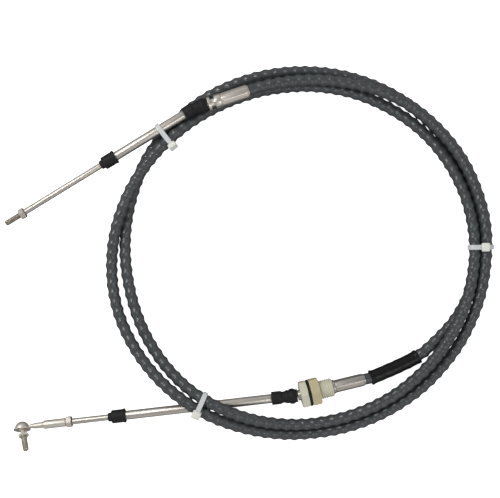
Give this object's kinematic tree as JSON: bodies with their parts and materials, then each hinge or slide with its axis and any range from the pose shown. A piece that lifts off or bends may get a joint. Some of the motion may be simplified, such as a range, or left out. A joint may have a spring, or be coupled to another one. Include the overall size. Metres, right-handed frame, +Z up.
{
  "type": "boat steering cable",
  "caption": "Push-pull boat steering cable in a grey corrugated jacket, coiled and tied, with sliding rod ends, a through-hull fitting and a ball joint.",
  "frame": {"origin": "on the floor, below the middle of the box round the metal ends and the ties", "axes": "+Z up from the floor that the coil lies on; +X to the right of the picture, away from the threaded ends; +Y to the top of the picture"},
  "size_m": [0.4858, 0.3824, 0.0364],
  "materials": {
    "jacket": "corrugated slate-grey extruded plastic, satin",
    "black_rubber": "moulded black rubber, matt",
    "steel": "turned stainless steel, fine marks round the axis",
    "ivory_plastic": "ivory moulded nylon, satin",
    "tan_plastic": "tan moulded nylon, satin",
    "nylon": "natural nylon, slightly milky"
  },
  "bodies": {
    "cable": {"jacket": "jacket", "cable_sleeve": "black_rubber", "sleeve_tube_a": "steel", "wiper_seal_a": "black_rubber", "swivel_boot_a": "black_rubber", "end_hub_a": "steel", "end_hub_b": "steel", "hull_fitting": "ivory_plastic", "hull_gasket": "black_rubber", "lock_nut": "tan_plastic", "swivel_boot_b": "black_rubber", "sleeve_tube_b": "steel", "wiper_seal_b": "black_rubber", "cable_tie_1": "nylon", "cable_tie_2": "nylon", "cable_tie_3": "nylon"},
    "helm_rod": {"rod_a": "steel", "jam_nut_a": "steel"},
    "nozzle_rod": {"rod_b": "steel", "jam_nut_b": "steel", "ball_socket": "steel"},
    "stud": {"ball_stud": "steel"}
  },
  "joints": [
    {"name": "helm_rod_slide", "type": "slide", "parent": "cable", "child": "helm_rod", "axis": [-0.8548, -0.5177, -0.035], "range_m": [-0.06, 0.025]},
    {"name": "nozzle_rod_slide", "type": "slide", "parent": "cable", "child": "nozzle_rod", "axis": [-0.9926, -0.1184, -0.0259], "range_m": [-0.025, 0.06]},
    {"name": "stud_tilt", "type": "hinge", "parent": "nozzle_rod", "child": "stud", "pos_m": [-0.22665, -0.16048, 0.0085], "axis": [-0.0932, 0.6089, 0.7877], "range_deg": [-37, 13]}
  ],
  "couplings": [
    {"joint": "nozzle_rod_slide", "follows": "helm_rod_slide", "ratio": -1}
  ]
}
